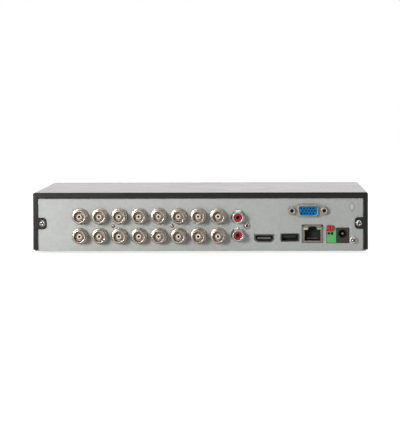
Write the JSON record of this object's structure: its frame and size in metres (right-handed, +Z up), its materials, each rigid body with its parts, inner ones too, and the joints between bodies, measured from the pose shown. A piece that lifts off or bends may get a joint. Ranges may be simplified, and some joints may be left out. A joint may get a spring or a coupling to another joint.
{
  "type": "video recorder",
  "caption": "Flat desktop video recorder with a folded steel case, two rows of bayonet video jacks, and a row of sockets along its rear panel.",
  "frame": {"origin": "centre of the overall box, level with the undersides of the feet", "axes": "+Z up, +Y from the rear panel with the connectors to the front bezel, +X to the right of someone who faces the rear panel"},
  "size_m": [0.26, 0.2324, 0.0476],
  "materials": {
    "galvanised_steel": "zinc coated, fine spangle",
    "black_paint": "satin powder coat",
    "black_plastic": "moulded",
    "gloss_plastic": "polished",
    "light_pipe": "clear moulded",
    "rubber": "matt",
    "nickel": "nickel plated",
    "screw_steel": "nickel plated",
    "tinned_steel": "tin plated",
    "red_plastic": "moulded",
    "green_plastic": "moulded",
    "blue_plastic": "moulded",
    "circuit_board": "solder mask",
    "black_aluminium": "anodised",
    "cast_aluminium": "as cast",
    "red_lead": "moulded"
  },
  "bodies": {
    "case": {"chassis_tray": "galvanised_steel", "top_cover": "black_paint", "front_bezel": "gloss_plastic", "light_pipe": "light_pipe", "rubber_foot_rear_left": "rubber", "rubber_foot_rear_right": "rubber", "rubber_foot_front_left": "rubber", "rubber_foot_front_right": "rubber", "video_jack_01": "nickel", "video_jack_02": "nickel", "video_jack_03": "nickel", "video_jack_04": "nickel", "video_jack_05": "nickel", "video_jack_06": "nickel", "video_jack_07": "nickel", "video_jack_08": "nickel", "video_jack_09": "nickel", "video_jack_10": "nickel", "video_jack_11": "nickel", "video_jack_12": "nickel", "video_jack_13": "nickel", "video_jack_14": "nickel", "video_jack_15": "nickel", "video_jack_16": "nickel", "audio_jack_top": "tinned_steel", "audio_jack_bottom": "tinned_steel", "audio_liner_top": "red_plastic", "audio_liner_bottom": "red_plastic", "jack_block": "black_plastic", "cover_screw_left": "screw_steel", "cover_screw_right": "screw_steel", "block_screw_left": "screw_steel", "block_screw_middle": "screw_steel", "audio_screw": "screw_steel", "digital_shell": "tinned_steel", "digital_insert": "black_plastic", "rear_usb_shell": "tinned_steel", "rear_usb_insert": "black_plastic", "front_usb": "tinned_steel", "lan_jacket": "tinned_steel", "lan_body": "black_plastic", "terminal_block": "green_plastic", "power_jack": "black_plastic", "power_pin": "nickel", "vga_shell": "tinned_steel", "vga_insert": "blue_plastic", "vga_jackscrew_left": "screw_steel", "vga_jackscrew_right": "screw_steel", "vga_riser_board": "circuit_board", "main_board": "circuit_board", "heat_sink": "black_aluminium", "hard_disk": "cast_aluminium", "fan_frame": "black_plastic", "front_board": "circuit_board", "disk_lead": "red_lead"},
    "lever_left": {"terminal_lever_1": "red_plastic"},
    "lever_right": {"terminal_lever_2": "red_plastic"},
    "ground_clamp": {"ground_washer": "screw_steel", "ground_screw": "screw_steel"},
    "rotor": {"fan_rotor": "black_plastic"}
  },
  "joints": [
    {"name": "lever_left_press", "type": "slide", "parent": "case", "child": "lever_left", "axis": [0, 1, 0], "range_m": [0, 0.0015], "stiffness_N_per_m": 800, "springref_m": -0.0005},
    {"name": "lever_right_press", "type": "slide", "parent": "case", "child": "lever_right", "axis": [0, 1, 0], "range_m": [0, 0.0015], "stiffness_N_per_m": 800, "springref_m": -0.0005},
    {"name": "ground_screw_lift", "type": "slide", "parent": "case", "child": "ground_clamp", "axis": [0, -1, 0], "range_m": [0, 0.002]},
    {"name": "fan_spin", "type": "hinge", "parent": "case", "child": "rotor", "pos_m": [0.1224, 0.0602, 0.0233], "axis": [1, 0, 0], "continuous": true}
  ]
}
